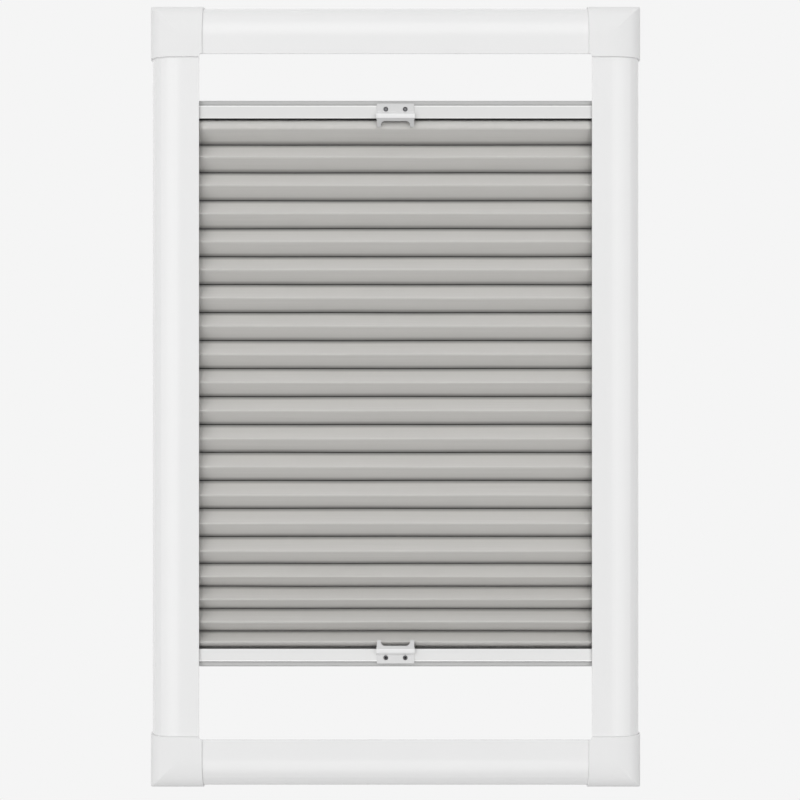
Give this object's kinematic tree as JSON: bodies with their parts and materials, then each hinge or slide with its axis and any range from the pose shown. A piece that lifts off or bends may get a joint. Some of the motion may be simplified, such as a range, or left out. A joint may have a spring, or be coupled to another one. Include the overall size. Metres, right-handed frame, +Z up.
{
  "type": "pleated blind",
  "caption": "Framed pleated blind for a window sash: a grey accordion fabric between two rails that slide separately in the frame's side channels.",
  "frame": {"origin": "centre of the bounding box: midway across the width, the height and the depth", "axes": "+X to the right as seen from the room, +Z up along the blind's height, and -Y out towards the room, so the tape sticks to the sash on the +Y side"},
  "size_m": [0.4452, 0.0282, 0.7092],
  "materials": {
    "coated_profile": "satin",
    "coated_rail": "satin",
    "white_moulding": "satin",
    "grip_moulding": "satin",
    "grey_moulding": "matte",
    "shoe_moulding": "satin",
    "zinc_steel": "satin",
    "spring_steel": "satin",
    "screw_steel": "satin",
    "foam_tape": "matte",
    "pleated_cloth": "matte"
  },
  "bodies": {
    "frame": {"top_profile": "coated_profile", "bottom_profile": "coated_profile", "left_profile": "coated_profile", "right_profile": "coated_profile", "bottom_left_corner_cover": "white_moulding", "bottom_left_corner_key": "grey_moulding", "bottom_right_corner_cover": "white_moulding", "bottom_right_corner_key": "grey_moulding", "top_left_corner_cover": "white_moulding", "top_left_corner_key": "grey_moulding", "top_right_corner_cover": "white_moulding", "top_right_corner_key": "grey_moulding", "corner_screws": "zinc_steel", "top_mounting_tape": "foam_tape", "bottom_mounting_tape": "foam_tape", "left_mounting_tape": "foam_tape", "right_mounting_tape": "foam_tape", "pleated_fabric": "pleated_cloth"},
    "top_rail_body": {"top_rail": "coated_rail", "top_fabric_strip": "grey_moulding", "top_left_guide_shoe": "shoe_moulding", "top_right_guide_shoe": "shoe_moulding", "top_left_brake_spring": "spring_steel", "top_right_brake_spring": "spring_steel", "top_grip": "grip_moulding", "top_grip_screws": "screw_steel"},
    "bottom_rail_body": {"bottom_rail": "coated_rail", "bottom_fabric_strip": "grey_moulding", "bottom_left_guide_shoe": "shoe_moulding", "bottom_right_guide_shoe": "shoe_moulding", "bottom_left_brake_spring": "spring_steel", "bottom_right_brake_spring": "spring_steel", "bottom_grip": "grip_moulding", "bottom_grip_screws": "screw_steel"}
  },
  "joints": [
    {"name": "top_rail_slide", "type": "slide", "parent": "frame", "child": "top_rail_body", "axis": [0, 0, 1], "range_m": [-0.224, 0.044], "deforming": ["pleated_fabric"]},
    {"name": "bottom_rail_slide", "type": "slide", "parent": "frame", "child": "bottom_rail_body", "axis": [0, 0, 1], "range_m": [-0.068, 0.224], "deforming": ["pleated_fabric"]}
  ]
}
